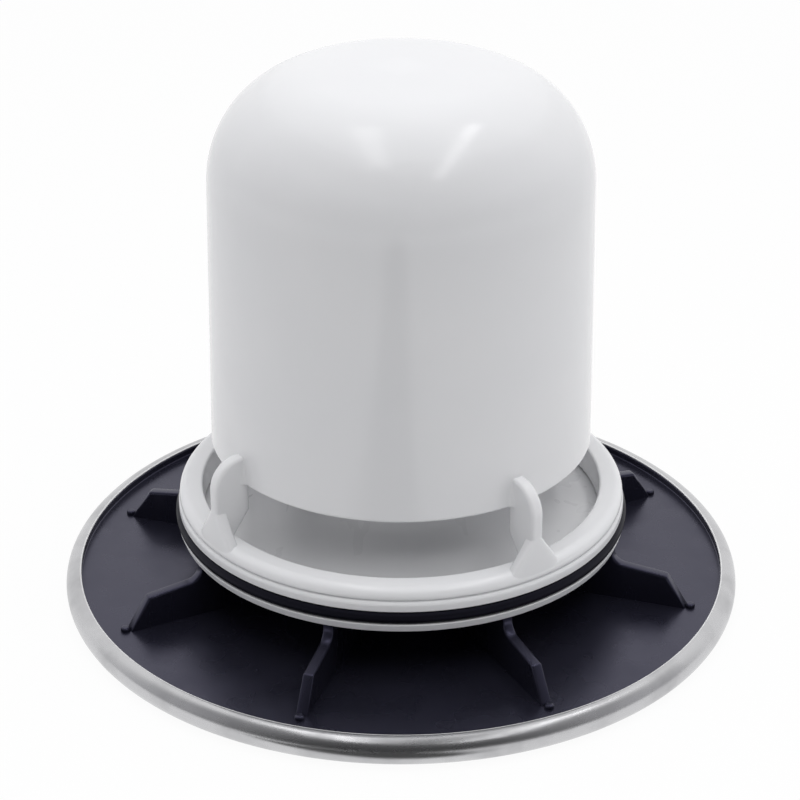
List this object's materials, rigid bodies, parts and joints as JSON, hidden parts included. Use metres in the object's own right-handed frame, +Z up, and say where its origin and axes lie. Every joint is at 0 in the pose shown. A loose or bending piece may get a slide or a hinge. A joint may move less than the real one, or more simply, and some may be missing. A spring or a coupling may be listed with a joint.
{
  "type": "shower drain",
  "caption": "Shower drain insert: domed water-seal cup with fins on a ring, dip tube with a sealing ring, and a ribbed black carrier in a round steel cover with a rolled edge.",
  "frame": {"origin": "centre of the cover's flat face, which is what it stands on, upside down", "axes": "+Z up the common axis towards the cup's dome; -Y towards the viewer of the picture"},
  "size_m": [0.115, 0.115, 0.0923],
  "materials": {
    "cover_steel": "satin polished",
    "black_plastic": "satin moulded",
    "tube_plastic": "satin moulded",
    "ring_rubber": "smooth",
    "cup_plastic": "satin gloss moulded"
  },
  "bodies": {
    "root": {"cover": "cover_steel", "cover_carrier": "black_plastic", "dip_tube": "tube_plastic", "sealing_ring": "ring_rubber", "trap_cup": "cup_plastic"}
  },
  "joints": []
}
